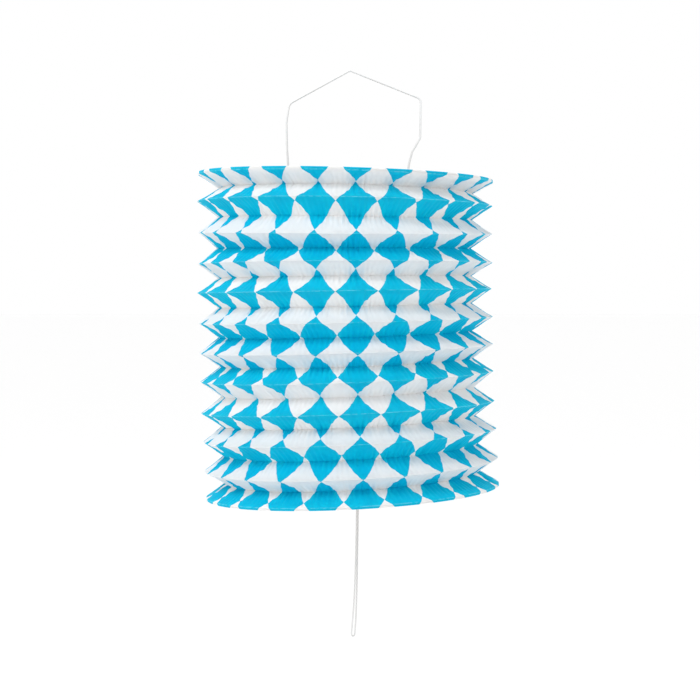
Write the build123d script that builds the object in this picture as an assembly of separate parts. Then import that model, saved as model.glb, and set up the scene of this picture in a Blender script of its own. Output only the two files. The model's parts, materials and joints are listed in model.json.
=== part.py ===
from build123d import *
import math
import os

# Accordion paper lantern: a pleated paper tube between a card ring and a card disc, hung from a wire bail.
# Millimetres, +Z up. The origin is the middle of the wire at the top of the bail, where a hook takes it.
# The lantern hangs a little crooked, as a soft paper tube does, so ring and disc each have their own tilt.
# Bodies: handle (the bail), top (ring and bellows), base (disc, candle holder, pull loop and its knot).

# ---- driving dimensions ----
RIDGE_R = 80.0  # outer folds of the bellows
VALLEY_R = 68.5  # inner folds
PANELS = 22  # slanted strips of paper from the ring to the disc
PAPER = 0.4  # crinkled paper, so thicker than one flat sheet
WALL = 0.75  # the same paper measured straight across a slanted panel
RING_CENTRE = (-2.5, -58.0)  # x and z of the middle of the ring's upper face
RING_TILT = 1.6  # degrees about Y; positive puts the +X side lower
BASE_CENTRE = (1.4, -228.0)  # x and z of the middle of the lowest fold
BASE_TILT = -2.9
BOW = 3.7  # how far the tube bellies out to -X between its two ends

CARD = 0.8  # grey board of the ring and the disc
HEM_WIDTH = 8.0  # paper turned in over the ring's upper face
GLUE = 0.05  # between the ring and the paper round it
OPENING_R = 35.5  # hand hole in the ring
SLOT_AT = 39.0  # from the ring's middle to each handle slot
SLOT_SIZE = (2.5, 11.0)  # radial, tangential
BASE_GAP = 0.3  # between the lowest fold and the disc, which move apart when the lantern folds

WIRE = 1.2  # diameter of the bail
WIRE_GAP = 0.3  # between the bail's feet and the underside of the ring
STUB = 1.4  # how far each end of the wire stands above the ring
LEG_AT = (-30.8, 33.6)  # where the legs meet their feet, from the ring's middle
BAIL_BENDS = [  # x and z of the hand-made bends, from the left leg over the top to the right leg
    (-34.3, -42),
    (-34.6, -28),
    (-33, -18),
    (0, 0),
    (38.5, -15.3),
    (38.2, -36.5),
    (33.8, -44),
    (32, -51),
]
FOOT_RADII = (1.2, 1.5)  # at the turn up into the slot, and at the turn up into the leg
BEND_RADII = [12, 12, 4, 2.2, 3, 4, 5, 12]

HOLDER_R = 11.4  # plate of the candle holder
TIN = 0.4
CANDLE_R = 7.5  # inside of the four claws
CLAW_ARC = 42.0  # degrees of the circle that each claw covers
CLAW_FOOT = 2.5  # height at which a claw starts to lean inwards
GRIP = (8.0, 16.0)  # heights above the plate between which the claws are straight
FLARE = (9.6, 19.5)  # radius and height of the claws' tips
TAB_AT = 13.6  # from the middle to the slots for the holder's two tabs
TAB_WIDTH = 4.0
TAB_SLACK = 0.6  # how much longer each slot is than its tab is wide
TAB_ROOT = 1.0  # how far a tab's arm overlaps the plate
TAB_FOOT = 4.5  # how far a tab is bent out under the disc
TAB_ANGLES = (45, 225)

CORD = 0.9
CORD_HOLE_AT = 2.7  # from the middle of the disc, towards +X
CORD_HOLE_R = 1.5
KNOT = (3.8, 3.4)  # width and height of the knot


def frame_at(centre, tilt):
    """The place of a part drawn flat about the origin and then tilted about Y."""
    return Location((centre[0], 0, centre[1]), (0, tilt, 0))


def fold_frame(share):
    """The place of a fold, by its share of the way down from the ring (0) to the disc (1)."""
    x = RING_CENTRE[0] + (BASE_CENTRE[0] - RING_CENTRE[0]) * share - 2 * BOW * share * (1 - share)
    z = RING_CENTRE[1] - CARD + (BASE_CENTRE[1] - RING_CENTRE[1] + CARD) * share
    tilt = RING_TILT + (BASE_TILT - RING_TILT) * math.sin(math.pi / 2 * share)
    return frame_at((x, z), tilt)


def tube(points, radii, diameter):
    """A round wire or cord along straight runs that are joined by arcs."""
    path = FilletPolyline(*points, radius=radii)
    section = Plane(origin=path @ 0, z_dir=path % 0) * Circle(diameter / 2)
    return sweep(section, path=path)


def bend_radii(points, share=0.45):
    """For each corner, the radius whose arc takes that share of the shorter of its two runs."""
    radii = []
    for before, here, after in zip(points, points[1:], points[2:]):
        run_in = Vector(*here) - Vector(*before)
        run_out = Vector(*after) - Vector(*here)
        half_turn = math.radians(run_in.get_angle(run_out)) / 2
        radii.append(share * min(run_in.length, run_out.length) / math.tan(half_turn))
    return radii


def handle_wire():
    """The bail, bent by hand from one wire.

    Each leg comes down inside the ring, runs out under it and ends in a slot.
    """
    foot = -(CARD + WIRE_GAP + WIRE / 2)
    ring = frame_at(RING_CENTRE, RING_TILT)

    def on_ring(along, above):
        place = (ring * Pos(along, 0, above)).position
        return (place.X, 0, place.Z)

    left_foot = [on_ring(-SLOT_AT, STUB), on_ring(-SLOT_AT, foot), on_ring(LEG_AT[0], foot)]
    right_foot = [on_ring(LEG_AT[1], foot), on_ring(SLOT_AT, foot), on_ring(SLOT_AT, STUB)]
    bends = [(x, 0, z) for x, z in BAIL_BENDS]
    radii = [*FOOT_RADII, *BEND_RADII, *reversed(FOOT_RADII)]
    return tube([*left_foot, *bends, *right_foot], radii, WIRE)


def top_ring():
    """Card ring that the bellows hangs from, with a slot each side for the ends of the bail."""
    ring = Cylinder(RIDGE_R - WALL - GLUE, CARD, align=(Align.CENTER, Align.CENTER, Align.MAX))
    ring -= Cylinder(OPENING_R, 3 * CARD)
    for side in (-1, 1):
        ring -= Pos(side * SLOT_AT, 0, 0) * Box(*SLOT_SIZE, 3 * CARD)
    return frame_at(RING_CENTRE, RING_TILT) * ring


def paper_bellows():
    """The pleated tube: 22 panels between 12 outer and 11 inner folds, with a hem turned in over the ring."""
    ring = frame_at(RING_CENTRE, RING_TILT)
    floor = fold_frame(1)
    outside = [ring * Pos(0, 0, PAPER) * Wire.make_circle(RIDGE_R)]
    inside = [ring * Pos(0, 0, GLUE) * Wire.make_circle(RIDGE_R - WALL)]
    for fold in range(PANELS + 1):
        frame = fold_frame(fold / PANELS)
        radius = VALLEY_R if fold % 2 else RIDGE_R
        outside.append(frame * Wire.make_circle(radius))
        inside.append(frame * Wire.make_circle(radius - WALL))
    inside.append(floor * Pos(0, 0, -1) * Wire.make_circle(RIDGE_R - WALL))
    bellows = Solid.make_loft(outside, ruled=True) - Solid.make_loft(inside, ruled=True)
    return bellows - ring * Cylinder(RIDGE_R - HEM_WIDTH, 3 * PAPER)


def base_frame():
    """The place of the disc: the middle of its upper face, just under the lowest fold."""
    return frame_at(BASE_CENTRE, BASE_TILT) * Pos(0, 0, -BASE_GAP)


def bottom_disc():
    """Card floor of the lantern, with two slots for the candle holder's tabs and a hole for the pull loop."""
    disc = Cylinder(RIDGE_R - WALL - GLUE, CARD, align=(Align.CENTER, Align.CENTER, Align.MAX))
    disc -= Pos(CORD_HOLE_AT, 0, 0) * Cylinder(CORD_HOLE_R, 3 * CARD)
    for angle in TAB_ANGLES:
        disc -= Rot(0, 0, angle) * Pos(TAB_AT, 0, 0) * Box(3 * TIN, TAB_WIDTH + TAB_SLACK, 3 * CARD)
    return base_frame() * disc


def candle_holder():
    """Stamped tin: a round plate, four sprung claws round the candle and two tabs clinched under the disc."""
    holder = Cylinder(HOLDER_R, TIN, align=(Align.CENTER, Align.CENTER, Align.MIN))
    holder -= Pos(CORD_HOLE_AT, 0, 0) * Cylinder(CORD_HOLE_R, 3 * TIN)
    inner_edge = [
        (HOLDER_R - TIN, TIN),
        (HOLDER_R - TIN, CLAW_FOOT),
        (CANDLE_R, GRIP[0]),
        (CANDLE_R, GRIP[1]),
        (FLARE[0] - TIN, FLARE[1]),
    ]
    outer_edge = [
        (FLARE[0], FLARE[1]),
        (CANDLE_R + TIN, GRIP[1]),
        (CANDLE_R + TIN, GRIP[0]),
        (HOLDER_R, CLAW_FOOT),
        (HOLDER_R, TIN),
    ]
    section = Plane.XZ * make_face(Polyline(*inner_edge, *outer_edge, close=True))
    claw = Rot(0, 0, -CLAW_ARC / 2) * revolve(section, axis=Axis.Z, revolution_arc=CLAW_ARC)
    for quarter in range(4):
        holder += Rot(0, 0, 90 * quarter) * claw
    arm_start = HOLDER_R - TAB_ROOT
    arm_end = TAB_AT + TIN / 2
    for angle in TAB_ANGLES:
        arm = Pos((arm_start + arm_end) / 2, 0, TIN / 2) * Box(arm_end - arm_start, TAB_WIDTH, TIN)
        leg = Pos(TAB_AT, 0, TIN / 2 - (CARD + TIN) / 2) * Box(TIN, TAB_WIDTH, CARD + 2 * TIN)
        foot = Pos(TAB_AT - TIN / 2 + TAB_FOOT / 2, 0, -CARD - TIN / 2) * Box(TAB_FOOT, TAB_WIDTH, TIN)
        holder += Rot(0, 0, angle) * (arm + leg + foot)
    return base_frame() * holder


LOOP_ROUTE = [
    (3.85, -0.50, -226.0),
    (3.75, -0.45, -231.5),
    (3.70, -0.60, -243.0),
    (3.25, -0.65, -264.0),
    (2.55, -0.45, -285.0),
    (1.65, -0.25, -298.0),
    (0.95, -0.10, -305.5),
    (0.65, 0.00, -309.2),
    (2.50, 0.10, -309.6),
    (2.85, 0.15, -305.8),
    (3.35, 0.35, -298.2),
    (3.75, 0.60, -285.0),
    (4.10, 0.65, -264.0),
    (4.40, 0.50, -243.0),
    (4.45, 0.42, -231.5),
    (4.30, 0.50, -226.0),
]


def pull_loop():
    """Thin cord, doubled: down from the knot through the disc, round a tight fold and back up."""
    radii = bend_radii(LOOP_ROUTE)
    loop = tube(LOOP_ROUTE, radii, CORD)
    length = sum((Vector(*b) - Vector(*a)).length for a, b in zip(LOOP_ROUTE, LOOP_ROUTE[1:]))
    print("pull_loop radii mm:", [round(radius, 2) for radius in radii])
    print(f"pull_loop volume {loop.volume:.2f}, section x length {math.pi * CORD**2 / 4 * length:.2f} mm3")
    return loop


def pull_loop_knot():
    """Overhand knot of the doubled cord, drawn up small, which rests on the holder's plate."""
    knot = Pos(CORD_HOLE_AT, 0, TIN + KNOT[1] / 2) * scale(Sphere(0.5), by=(KNOT[0], KNOT[0], KNOT[1]))
    return base_frame() * knot


os.makedirs("parts", exist_ok=True)
for make in (
    handle_wire,
    top_ring,
    paper_bellows,
    bottom_disc,
    candle_holder,
    pull_loop,
    pull_loop_knot,
):
    export_step(make(), f"parts/{make.__name__}.step")
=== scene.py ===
import json
import math

import bpy
import numpy as np
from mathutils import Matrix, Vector


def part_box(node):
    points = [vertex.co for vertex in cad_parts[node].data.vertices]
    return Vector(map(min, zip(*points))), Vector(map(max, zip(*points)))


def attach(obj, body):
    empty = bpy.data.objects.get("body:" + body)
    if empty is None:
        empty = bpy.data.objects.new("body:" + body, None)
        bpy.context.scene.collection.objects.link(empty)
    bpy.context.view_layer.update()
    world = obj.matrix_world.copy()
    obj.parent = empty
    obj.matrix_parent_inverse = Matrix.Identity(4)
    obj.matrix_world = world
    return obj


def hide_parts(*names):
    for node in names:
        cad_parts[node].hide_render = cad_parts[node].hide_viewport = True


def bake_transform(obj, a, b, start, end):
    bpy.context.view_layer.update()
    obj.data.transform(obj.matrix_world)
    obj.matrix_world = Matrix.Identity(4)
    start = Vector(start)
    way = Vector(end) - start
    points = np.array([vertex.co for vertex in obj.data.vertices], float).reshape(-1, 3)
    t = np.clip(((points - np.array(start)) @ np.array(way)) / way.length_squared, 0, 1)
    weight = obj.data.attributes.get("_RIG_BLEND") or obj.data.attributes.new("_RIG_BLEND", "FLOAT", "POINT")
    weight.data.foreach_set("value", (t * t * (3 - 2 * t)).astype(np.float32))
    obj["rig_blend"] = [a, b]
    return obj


# The looks of an accordion paper lantern: printed paper bellows, card, tin, painted wire and a thin cord.
# Metres, in the CAD frame: the origin is the top of the bail, +Z is up and the viewer is at -Y.

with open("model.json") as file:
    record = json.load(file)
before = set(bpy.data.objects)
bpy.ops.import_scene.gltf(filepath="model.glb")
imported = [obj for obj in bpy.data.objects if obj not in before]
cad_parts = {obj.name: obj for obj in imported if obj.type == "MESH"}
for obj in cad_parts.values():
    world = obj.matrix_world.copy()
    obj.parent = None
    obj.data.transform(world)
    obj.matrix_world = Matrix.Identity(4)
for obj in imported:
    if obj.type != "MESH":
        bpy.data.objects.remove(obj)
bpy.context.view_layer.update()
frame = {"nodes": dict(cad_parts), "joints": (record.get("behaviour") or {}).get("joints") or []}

MM = 0.001
rng = np.random.default_rng(7)

# ---- sizes of the lantern, as in its CAD ----
RIDGE_R = 80 * MM
VALLEY_R = 68.5 * MM
PANELS = 22
RING_X, RING_Z, RING_TILT = -2.5 * MM, -58 * MM, 1.6
BASE_X, BASE_Z, BASE_TILT = 1.4 * MM, -228 * MM, -2.9
BOW = 3.7 * MM
CARD = 0.8 * MM
BASE_GAP = 0.3 * MM
PAPER_GAP = 0.05 * MM  # between the hem and the disc
RING_GAP = 0.3 * MM  # room under the ring for the first panel to lie flat
HEM_WIDTH = 8 * MM
TRAVEL = next(joint["range_m"][1] for joint in frame["joints"] if joint["name"] == "fold")

# ---- how the paper hangs, in millimetres: each outer fold's lift above an even spacing, and its front's ----
LIFT = [0, 1.4, 1.3, 0, 0.6, 0.2, 0.2, 0.3, -1.0, -0.9, -1.1, 0]
FRONT = [0, 0.5, -2.6, 0.7, 0.4, 0, 0, 0.6, 1.4, 1.2, -0.6, 0]

# ---- paper ----
SHEET = 0.25 * MM
CRINKLES = 166  # gathers round each inner fold
STEPS = 4  # points to a gather: middle, crest, middle, trough
CRINKLE = 0.5 * MM
CREST_LEFT = 0.05  # the part of a gather that reaches the outer fold
CREST_MIDDLE = 1.2  # and how much a gather stands out part way up a panel
ROWS = 3  # rows of points down a panel
SAG = 0.10  # how far a panel bows inwards, which leaves its inner fold the rounder one
PRINT_PULL = 0.26  # how far the print sits towards the outer folds, which curves the lozenges' sides
PANEL_WIDTH = 13.9 * MM
PANEL_RISE = 7.7 * MM  # what a panel covers of the tube's height
PANEL_DEPTH = 11.5 * MM  # and of its radius
WOBBLE = 0.3 * MM  # how far a fold is from round
HEM_TOP = 0.45 * MM  # highest line of the hem above the ring's upper face
HEM_WAVE = 0.25 * MM  # unevenness of the hem's cut edge
LAP = 0.35 * MM  # step where the sheet's glued ends overlap, at the back
LAP_ANGLES = (172, 180)

# ---- print ----
LOZENGES = 23
LOZENGE_PANELS = 2.75  # height of a lozenge in panels
FIRST_ROW = 2.37  # panels from the ring to the first row of blue middles
COLUMN_AT = 4.5  # degrees to the right of the front
DRIFT = 0.24  # panels by which the print and the folds slide past each other, down the tube and back
DRIFT_FROM = 4  # the panel where they agree
DRIFT_PANELS = 13  # and the panels until they agree again
LAST_PANELS = (19.5, 21.5)  # where the drift fades out above the disc

# ---- cord: the route of part.py, in millimetres ----
CORD = 0.9 * MM
LOOP_ROUTE = [
    (3.85, -0.50, -226.0),
    (3.75, -0.45, -231.5),
    (3.70, -0.60, -243.0),
    (3.25, -0.65, -264.0),
    (2.55, -0.45, -285.0),
    (1.65, -0.25, -298.0),
    (0.95, -0.10, -305.5),
    (0.65, 0.00, -309.2),
    (2.50, 0.10, -309.6),
    (2.85, 0.15, -305.8),
    (3.35, 0.35, -298.2),
    (3.75, 0.60, -285.0),
    (4.10, 0.65, -264.0),
    (4.40, 0.50, -243.0),
    (4.45, 0.42, -231.5),
    (4.30, 0.50, -226.0),
]


# ---------------------------------------------------------------- materials
class Nodes:
    """A material's node tree, with short ways to add nodes and join them."""

    def __init__(self, name):
        self.material = bpy.data.materials.new(name)
        self.material.use_nodes = True
        self.tree = self.material.node_tree
        self.shader = self.tree.nodes["Principled BSDF"]

    def add(self, kind, inputs=None, **settings):
        node = self.tree.nodes.new(kind)
        for name, value in settings.items():
            setattr(node, name, value)
        for name, value in (inputs or {}).items():
            self.put(node.inputs[name], value)
        return node

    def put(self, socket, value):
        if isinstance(value, bpy.types.NodeSocket):
            self.tree.links.new(value, socket)
        else:
            socket.default_value = value

    def math(self, operation, a, b=0.0):
        return self.add("ShaderNodeMath", {0: a, 1: b}, operation=operation).outputs[0]

    def noise(self, scale, detail=4.0, vector=None, roughness=0.55):
        inputs = {"Scale": scale, "Detail": detail, "Roughness": roughness}
        inputs["Vector"] = vector or self.place()
        return self.add("ShaderNodeTexNoise", inputs).outputs["Fac"]

    def place(self):
        return self.add("ShaderNodeTexCoord").outputs["Object"]

    def remap(self, value, low, high, to_low=0.0, to_high=1.0):
        inputs = {"Value": value, "From Min": low, "From Max": high, "To Min": to_low, "To Max": to_high}
        return self.add("ShaderNodeMapRange", inputs).outputs[0]

    def mix(self, share, a, b):
        node = self.add("ShaderNodeMix", data_type="RGBA")
        self.put(node.inputs[0], share)
        self.put(node.inputs[6], a)
        self.put(node.inputs[7], b)
        return node.outputs[2]

    def finish(self, color, roughness, height=None, depth=0.0, strength=1.0):
        self.put(self.shader.inputs["Base Color"], color)
        self.put(self.shader.inputs["Roughness"], roughness)
        if height is not None:
            bump = self.add("ShaderNodeBump", {"Height": height, "Distance": depth, "Strength": strength})
            self.put(self.shader.inputs["Normal"], bump.outputs[0])
        return self.material


WHITE = (0.91, 0.91, 0.905, 1)
WHITE_DULL = (0.86, 0.86, 0.86, 1)
BLUE = (0.0, 0.45, 0.715, 1)
BLUE_DEEP = (0.0, 0.39, 0.665, 1)
BLUE_WORN = (0.10, 0.55, 0.77, 1)
WHITE_VALLEY_LIGHT = (0.95, 0.95, 0.945, 1)  # painted light: the inner folds are painted brighter, to lift the shade that falls in them
BLUE_VALLEY_LIGHT = (0.0, 0.515, 0.80, 1)


def printed_mask(nodes):
    """Where the blue lozenges are, and how far each point is from an outer fold, in panels."""
    uv = nodes.add("ShaderNodeUVMap", uv_map="print").outputs[0]
    across = nodes.add("ShaderNodeSeparateXYZ", {0: uv})
    wander = nodes.math("MULTIPLY", nodes.math("SUBTRACT", nodes.noise(900, 2), 0.5), 0.018)
    panel = nodes.math("ADD", nodes.math("MULTIPLY", across.outputs[1], LOZENGE_PANELS), FIRST_ROW)
    turn = nodes.math("MULTIPLY", nodes.math("SUBTRACT", panel, DRIFT_FROM), math.pi / DRIFT_PANELS)
    depth = nodes.remap(panel, LAST_PANELS[0], LAST_PANELS[1], DRIFT / LOZENGE_PANELS, 0)
    drift = nodes.math("MULTIPLY", nodes.math("SINE", turn), depth)
    sides = nodes.math("PINGPONG", across.outputs[0], 0.5)
    ends = nodes.math("PINGPONG", nodes.math("SUBTRACT", across.outputs[1], drift), 0.5)
    reach = nodes.math("ADD", nodes.math("ADD", sides, ends), wander)
    blue = nodes.remap(reach, 0.507, 0.493)
    return blue, nodes.math("PINGPONG", panel, 1.0)


def thin_sheet(nodes):
    """Matt paper that lets some light through."""
    nodes.shader.inputs["Specular IOR Level"].default_value = 0.08
    nodes.shader.inputs["Subsurface Weight"].default_value = 0.6
    nodes.shader.inputs["Subsurface Scale"].default_value = 1.5 * MM
    nodes.shader.inputs["Subsurface Radius"].default_value = (1, 1, 1)


def printed_paper():
    """Thin matt paper, flood printed in cyan lozenges; the ink rubs thin along the outer folds, and the inner
    folds are painted brighter as painted light.
    """
    nodes = Nodes("printed_paper")
    blue, from_ridge = printed_mask(nodes)
    cloud = nodes.noise(70, 5)
    white = nodes.mix(nodes.remap(cloud, 0.35, 0.7), WHITE, WHITE_DULL)
    ink = nodes.mix(nodes.remap(nodes.noise(160, 6), 0.35, 0.68), BLUE, BLUE_DEEP)
    on_ridge = nodes.remap(from_ridge, 0.055, 0.015)
    rubbed = nodes.math("MULTIPLY", on_ridge, nodes.remap(nodes.noise(420, 3), 0.4, 0.6))
    ink = nodes.mix(nodes.math("MULTIPLY", rubbed, 0.7), ink, BLUE_WORN)
    # Painted light: towards the inner folds the paper and ink are painted brighter, standing in for light
    # that reaches into the folds.
    painted_valley_light = nodes.remap(from_ridge, 0.35, 1.0)
    white = nodes.mix(painted_valley_light, white, WHITE_VALLEY_LIGHT)
    ink = nodes.mix(painted_valley_light, ink, BLUE_VALLEY_LIGHT)
    fibres = nodes.noise(2600, 5, roughness=0.65)
    roughness = nodes.remap(blue, 0, 1, 0.9, 0.7)
    thin_sheet(nodes)
    return nodes.finish(nodes.mix(blue, white, ink), roughness, fibres, 0.05 * MM, 0.5)


def paper_back():
    """The unprinted side of the same paper, with the print just showing through."""
    nodes = Nodes("paper_back")
    blue, _ = printed_mask(nodes)
    white = nodes.mix(nodes.remap(nodes.noise(90, 5), 0.35, 0.7), WHITE, WHITE_DULL)
    shown = nodes.mix(nodes.math("MULTIPLY", blue, 0.16), white, BLUE)
    thin_sheet(nodes)
    return nodes.finish(shown, 0.9, nodes.noise(2600, 5, roughness=0.65), 0.05 * MM, 0.5)


def grey_board():
    """Recycled board: grey, with long pale and dark fibres and a few specks."""
    nodes = Nodes("grey_board")
    stretched = nodes.add("ShaderNodeMapping", {"Vector": nodes.place(), "Scale": (1, 4.5, 1)}).outputs[0]
    fibres = nodes.noise(420, 6, stretched, 0.7)
    base = nodes.mix(nodes.remap(fibres, 0.35, 0.68), (0.43, 0.415, 0.38, 1), (0.56, 0.545, 0.50, 1))
    cells = nodes.add("ShaderNodeTexVoronoi", {"Vector": nodes.place(), "Scale": 330.0})
    specks = nodes.remap(cells.outputs["Distance"], 0.10, 0.05)
    base = nodes.mix(nodes.math("MULTIPLY", specks, 0.55), base, (0.16, 0.15, 0.14, 1))
    return nodes.finish(base, nodes.remap(fibres, 0.3, 0.7, 0.82, 0.95), fibres, 0.08 * MM, 0.6)


def painted_wire():
    """White enamel on thin steel wire, a little uneven, with faint grey rubs."""
    nodes = Nodes("painted_wire")
    rubs = nodes.noise(260, 5)
    color = nodes.mix(nodes.remap(rubs, 0.6, 0.75), (0.79, 0.79, 0.79, 1), (0.70, 0.70, 0.70, 1))
    return nodes.finish(color, nodes.remap(rubs, 0.3, 0.7, 0.28, 0.5), nodes.noise(900, 3), 0.03 * MM, 0.5)


def tinplate():
    """Bright stamped tin with rolling marks."""
    nodes = Nodes("tinplate")
    rolled = nodes.add("ShaderNodeMapping", {"Vector": nodes.place(), "Scale": (1, 14, 1)}).outputs[0]
    marks = nodes.noise(500, 4, rolled)
    color = nodes.mix(nodes.remap(marks, 0.35, 0.65), (0.62, 0.62, 0.60, 1), (0.76, 0.76, 0.74, 1))
    nodes.shader.inputs["Metallic"].default_value = 1.0
    return nodes.finish(color, nodes.remap(marks, 0.3, 0.7, 0.24, 0.42), marks, 0.02 * MM, 0.5)


def white_cord():
    """Twisted white cotton: a helix of strands along the cord, with painted shade in the grooves between
    them.
    """
    nodes = Nodes("white_cord")
    uv = nodes.add("ShaderNodeTexCoord").outputs["UV"]
    parts = nodes.add("ShaderNodeSeparateXYZ", {0: uv})
    turns = nodes.math("MULTIPLY", parts.outputs[0], 110.0)
    strands = nodes.math("ADD", turns, nodes.math("MULTIPLY", parts.outputs[1], 3.0))
    ply_and_groove_shade = nodes.math("PINGPONG", strands, 0.5)
    # Painted shade: the colour darkens where the bump runs low, in the grooves between the strands.
    color = nodes.mix(nodes.remap(ply_and_groove_shade, 0.0, 0.5), (0.62, 0.62, 0.62, 1), (0.86, 0.86, 0.85, 1))
    return nodes.finish(color, 0.92, ply_and_groove_shade, 0.18 * MM, 0.7)


# ---------------------------------------------------------------- the paper bellows
def on_plane(x, z, tilt, radius, turn, above=0.0):
    """Points of a circle about (x, 0, z), tilted about Y; turn is 0 at the front and grows to the right."""
    a = math.radians(tilt)
    along = radius * np.sin(turn)
    across = -radius * np.cos(turn)
    above = np.broadcast_to(above, turn.shape)
    return np.stack([
        x + along * math.cos(a) + above * math.sin(a),
        across,
        z - along * math.sin(a) + above * math.cos(a),
    ], axis=1)


def fold_ring(fold, turn, lap):
    """One fold of the tube: its points round the lantern."""
    share = fold / PANELS
    x = RING_X + (BASE_X - RING_X) * share - 2 * BOW * share * (1 - share)
    z = RING_Z - CARD + (BASE_Z - RING_Z + CARD) * share
    tilt = RING_TILT + (BASE_TILT - RING_TILT) * math.sin(math.pi / 2 * share)
    above_k, below_k = fold // 2, (fold + 1) // 2
    lift = (LIFT[above_k] + LIFT[below_k]) / 2 * MM
    front = (FRONT[above_k] + FRONT[below_k]) / 2 * MM
    radius = (VALLEY_R if fold % 2 else RIDGE_R) + lap
    if 0 < fold < PANELS:
        phase = rng.uniform(0, 2 * math.pi, 2)
        radius = radius + WOBBLE * (np.sin(3 * turn + phase[0]) + 0.6 * np.sin(7 * turn + phase[1]))
    return on_plane(x, z, tilt, radius, turn, lift + front * np.cos(turn))


def crinkle_wave(count, fold):
    """The gathers at one inner fold: a crest and a trough each, none quite like the next."""
    size = rng.uniform(0.55, 1.3, CRINKLES) * (1 + 0.2 * np.sin(np.arange(CRINKLES) * 0.37 + fold))
    wave = np.zeros(count)
    wave[1::STEPS] = size
    wave[3::STEPS] = -np.roll(size, 3) * rng.uniform(0.7, 1.1, CRINKLES)
    wave[0::STEPS] = rng.uniform(-0.25, 0.25, CRINKLES)
    wave[2::STEPS] = rng.uniform(-0.25, 0.25, CRINKLES)
    return np.roll(wave, int(rng.integers(0, count)))


def grid_normals(grid):
    """Outward normals of a grid of rows that run down the tube and close round it."""
    around = np.roll(grid, -1, axis=1) - np.roll(grid, 1, axis=1)
    down = np.gradient(grid, axis=0)
    normal = np.cross(down, around)
    return normal / np.maximum(np.linalg.norm(normal, axis=2, keepdims=True), 1e-12)


def bellows_rows(turn):
    """The sheet from the hem on the ring to the hem under the disc: rows of points and panel numbers."""
    degrees = np.degrees(turn) % 360
    lap = np.where((degrees > LAP_ANGLES[0]) & (degrees < LAP_ANGLES[1]), LAP, 0.0)
    folds = [fold_ring(fold, turn, lap) for fold in range(PANELS + 1)]
    folds[0][:, 2] -= RING_GAP
    waves = {fold: CRINKLE * crinkle_wave(len(turn), fold) for fold in range(1, PANELS, 2)}
    rows, panels = [], []

    def add(points, panel):
        rows.append(points)
        panels.append(panel)

    hem_panels = HEM_WIDTH / PANEL_WIDTH
    hem_inner = RIDGE_R - HEM_WIDTH + HEM_WAVE * np.sin(5 * turn)
    add(on_plane(RING_X, RING_Z, RING_TILT, hem_inner, turn, 0.3 * MM), -hem_panels)
    add(on_plane(RING_X, RING_Z, RING_TILT, RIDGE_R - 0.5 * MM, turn, HEM_TOP), -0.15)
    add(on_plane(RING_X, RING_Z, RING_TILT, RIDGE_R + lap, turn, HEM_TOP - SHEET), -0.10)
    out = np.stack([np.sin(turn), -np.cos(turn), np.zeros_like(turn)], axis=1)
    for fold in range(PANELS):
        upper, lower = folds[fold], folds[fold + 1]
        valley = fold + 1 if fold % 2 == 0 else fold
        tilt_up = 1 if fold % 2 else -1
        face = (out * PANEL_RISE + np.array([0, 0, tilt_up * PANEL_DEPTH])) / PANEL_WIDTH
        to_ridge = -tilt_up
        wave = waves[valley][:, None]
        for step in range(ROWS):
            part = step / ROWS
            from_valley = 1 - part if valley == fold + 1 else part
            bulge = from_valley * (1 - from_valley)
            points = upper * (1 - part) + lower * part
            points[:, :2] *= 1 - SAG * bulge * PANEL_DEPTH / RIDGE_R
            points[:, 2:] += SAG * bulge * to_ridge * (upper - lower)[:, 2:]
            if from_valley == 0:
                points = points + out * wave
            elif from_valley == 1:
                points = points + out * wave * CREST_LEFT
            else:
                points = points + face * wave * (1 - from_valley) * CREST_MIDDLE
            add(points, fold + part + PRINT_PULL * bulge * to_ridge)
    add(folds[PANELS], PANELS)
    under = -(BASE_GAP + CARD + SHEET + PAPER_GAP)
    add(on_plane(BASE_X, BASE_Z, BASE_TILT, RIDGE_R + lap, turn, under + 0.3 * MM), PANELS + 0.12)
    add(on_plane(BASE_X, BASE_Z, BASE_TILT, RIDGE_R - 0.4 * MM, turn, under), PANELS + 0.16)
    add(on_plane(BASE_X, BASE_Z, BASE_TILT, hem_inner, turn, under), PANELS + hem_panels)
    return np.array(rows), np.array(panels)


def fold_shares(points, panel):
    """How much of the disc's motion each point takes, so that the folds lie evenly when closed."""
    share = np.clip(panel / PANELS, 0, 1)
    top = RING_Z - CARD - RING_GAP - (points[..., 0] - RING_X) * math.tan(math.radians(RING_TILT))
    floor = BASE_Z - (points[..., 0] - BASE_X) * math.tan(math.radians(BASE_TILT))
    even = top + share * (floor - top)
    weight = share - (points[..., 2] - even) / TRAVEL
    weight = np.where((panel <= 0) | (panel >= PANELS), share, weight)
    return np.clip(weight, 0, 1)


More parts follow.
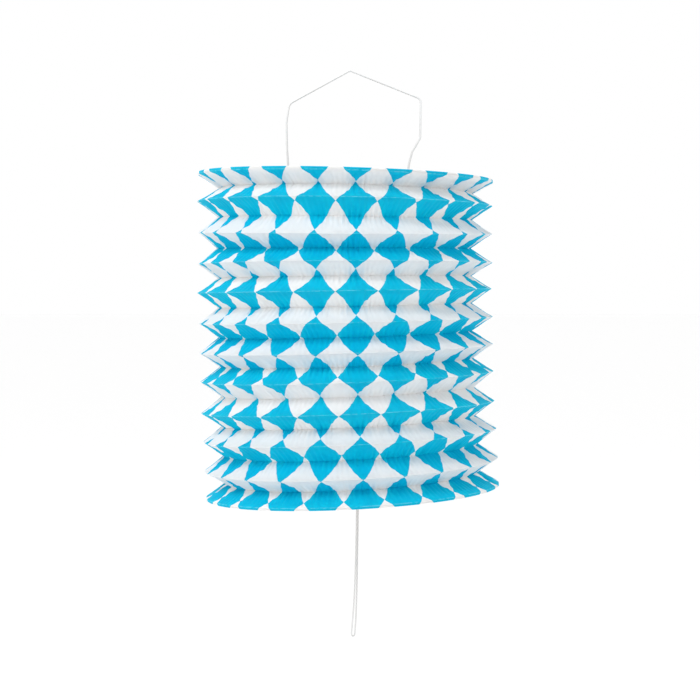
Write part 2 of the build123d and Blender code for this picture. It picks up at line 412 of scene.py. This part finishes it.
def paper_bellows():
    count = CRINKLES * STEPS
    turn = (np.arange(count) + rng.uniform(-0.22, 0.22, count)) * 2 * math.pi / count
    outer, panels = bellows_rows(turn)
    inner = outer - grid_normals(outer) * SHEET
    rows = len(outer)
    vertices = np.concatenate([outer.reshape(-1, 3), inner.reshape(-1, 3)])
    side = np.arange(rows * count).reshape(rows, count)
    after = np.roll(side, -1, axis=1)
    skin = np.stack([side[:-1], side[1:], after[1:], after[:-1]], axis=-1).reshape(-1, 4)
    back = skin[:, ::-1] + rows * count
    first = np.stack([side[0], after[0], after[0] + rows * count, side[0] + rows * count], axis=-1)
    last = np.stack([after[-1], side[-1], side[-1] + rows * count, after[-1] + rows * count], axis=-1)
    faces = np.concatenate([skin, back, first, last])

    mesh = bpy.data.meshes.new("paper_bellows")
    mesh.from_pydata(vertices.tolist(), [], faces.tolist())
    column = np.tile(np.arange(count), rows)
    column = np.concatenate([column, column])[faces]
    wraps = (column.max(axis=1) - column.min(axis=1)) > count / 2
    angle = np.degrees(turn)[column] + np.where(wraps[:, None] & (column < count / 2), 360.0, 0.0)
    row = np.repeat(np.arange(rows), count)
    down = panels[np.concatenate([row, row])[faces]]
    uv = np.stack([(angle - COLUMN_AT) * LOZENGES / 360, (down - FIRST_ROW) / LOZENGE_PANELS], axis=-1)
    mesh.uv_layers.new(name="print").data.foreach_set("uv", uv.astype(np.float32).ravel())
    mesh.materials.append(printed_paper())
    mesh.materials.append(paper_back())
    slots = np.ones(len(faces), np.int32)
    slots[:len(skin)] = 0
    mesh.polygons.foreach_set("material_index", slots)
    mesh.polygons.foreach_set("use_smooth", np.ones(len(faces), bool))
    mesh.set_sharp_from_angle(angle=math.radians(72))
    mesh.update()

    paper = bpy.data.objects.new("bellows_paper", mesh)
    bpy.context.scene.collection.objects.link(paper)
    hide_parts("paper_bellows")
    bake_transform(paper, "top", "base", start=(RING_X, 0, RING_Z - CARD), end=(BASE_X, 0, BASE_Z))
    # The blend's easing is replaced by each fold's own share, so that all the folds close evenly.
    panel = np.repeat(panels, count).reshape(rows, count)
    shares = fold_shares(outer, panel).ravel()
    weights = np.concatenate([shares, shares])
    mesh.attributes["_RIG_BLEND"].data.foreach_set("value", weights.astype(np.float32))
    return paper


# ---------------------------------------------------------------- cord and knot
def curve_object(name, splines, thickness, material):
    """A round cord along one or more open NURBS splines."""
    curve = bpy.data.curves.new(name, "CURVE")
    curve.dimensions = "3D"
    curve.resolution_u = 12
    curve.bevel_depth = thickness / 2
    curve.bevel_resolution = 4
    curve.use_fill_caps = True
    for points in splines:
        spline = curve.splines.new("NURBS")
        spline.points.add(len(points) - 1)
        for slot, point in zip(spline.points, points):
            slot.co = (*point, 1)
        spline.order_u = 3
        spline.use_endpoint_u = True
    curve.materials.append(material)
    thing = bpy.data.objects.new(name, curve)
    bpy.context.scene.collection.objects.link(thing)
    return thing


def knot_on_plate(material):
    """A small overhand knot of the doubled cord with its two short tails, sitting on the tin plate."""
    low, high = (Vector(corner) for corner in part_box("pull_loop_knot"))
    middle = (low + high) / 2
    size = 0.43 * MM
    turns = [2 * math.pi * i / 28 for i in range(29)]
    trefoil = [
        middle + Vector((
            size * (math.sin(t) + 2 * math.sin(2 * t)),
            size * (math.cos(t) - 2 * math.cos(2 * t)),
            -1.05 * MM * math.sin(3 * t),
        ))
        for t in turns
    ]
    tail = ((0.3, 0.2, 0.4), (0.9, 0.5, 1.6), (1.9, 0.4, 2.6))
    tails = [[middle + Vector((side * x, y, z)) * MM for x, y, z in tail] for side in (-1, 1)]
    return curve_object("loop_knot", [trefoil, *tails], CORD, material)


# ---------------------------------------------------------------- build
paper_bellows()

cord_material = white_cord()
route = [(x * MM, y * MM, z * MM) for x, y, z in LOOP_ROUTE]
loop = curve_object("pull_loop_cord", [route], CORD, cord_material)
knot = knot_on_plate(cord_material)
for piece, node in ((loop, "pull_loop"), (knot, "pull_loop_knot")):
    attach(piece, "base")
    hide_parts(node)

board = grey_board()
for node, material in (
    ("handle_wire", painted_wire()),
    ("top_ring", board),
    ("bottom_disc", board),
    ("candle_holder", tinplate()),
):
    mesh = frame["nodes"][node].data
    mesh.materials.clear()
    mesh.materials.append(material)

# ---------------------------------------------------------------- studio
FLOOR_Z = -0.62
FLOOR_HALF = 30.0
EYE = Vector((0, -0.952, -0.117))
AIM = Vector((0, 0, -0.152))
LENS = 89.65
KEY_AT = (-0.9, -1.5, 1.5)
KEY_AIM = (0, 0, -0.15)
KEY_SIZE = 0.9
KEY_POWER = 19


def floor():
    mesh = bpy.data.meshes.new("floor")
    corners = [(x * FLOOR_HALF, y * FLOOR_HALF, FLOOR_Z) for x, y in ((-1, -1), (1, -1), (1, 1), (-1, 1))]
    mesh.from_pydata(corners, [], [(0, 1, 2, 3)])
    nodes = Nodes("floor")
    nodes.finish((0.99, 0.99, 0.99, 1), 0.9)
    mesh.materials.append(nodes.material)
    thing = bpy.data.objects.new("floor", mesh)
    bpy.context.scene.collection.objects.link(thing)


def area_light(name, place, aim, size, power):
    light = bpy.data.lights.new(name, "AREA")
    light.shape = "DISK"
    light.size = size
    light.energy = power
    lamp = bpy.data.objects.new(name, light)
    lamp.location = place
    lamp.rotation_euler = (Vector(aim) - Vector(place)).to_track_quat("-Z", "Y").to_euler()
    bpy.context.scene.collection.objects.link(lamp)


def camera():
    data = bpy.data.cameras.new("camera")
    data.sensor_width = 36
    data.lens = LENS
    data.clip_end = 100
    thing = bpy.data.objects.new("camera", data)
    thing.location = EYE
    thing.rotation_euler = (AIM - EYE).to_track_quat("-Z", "Y").to_euler()
    bpy.context.scene.collection.objects.link(thing)
    bpy.context.scene.camera = thing


floor()
world = bpy.data.worlds.new("studio")
world.use_nodes = True
world.node_tree.nodes["Background"].inputs["Color"].default_value = (1, 1, 1, 1)
world.node_tree.nodes["Background"].inputs["Strength"].default_value = 1.0
bpy.context.scene.world = world
area_light("key", KEY_AT, KEY_AIM, KEY_SIZE, KEY_POWER)
camera()
bpy.context.scene.view_settings.view_transform = "Standard"
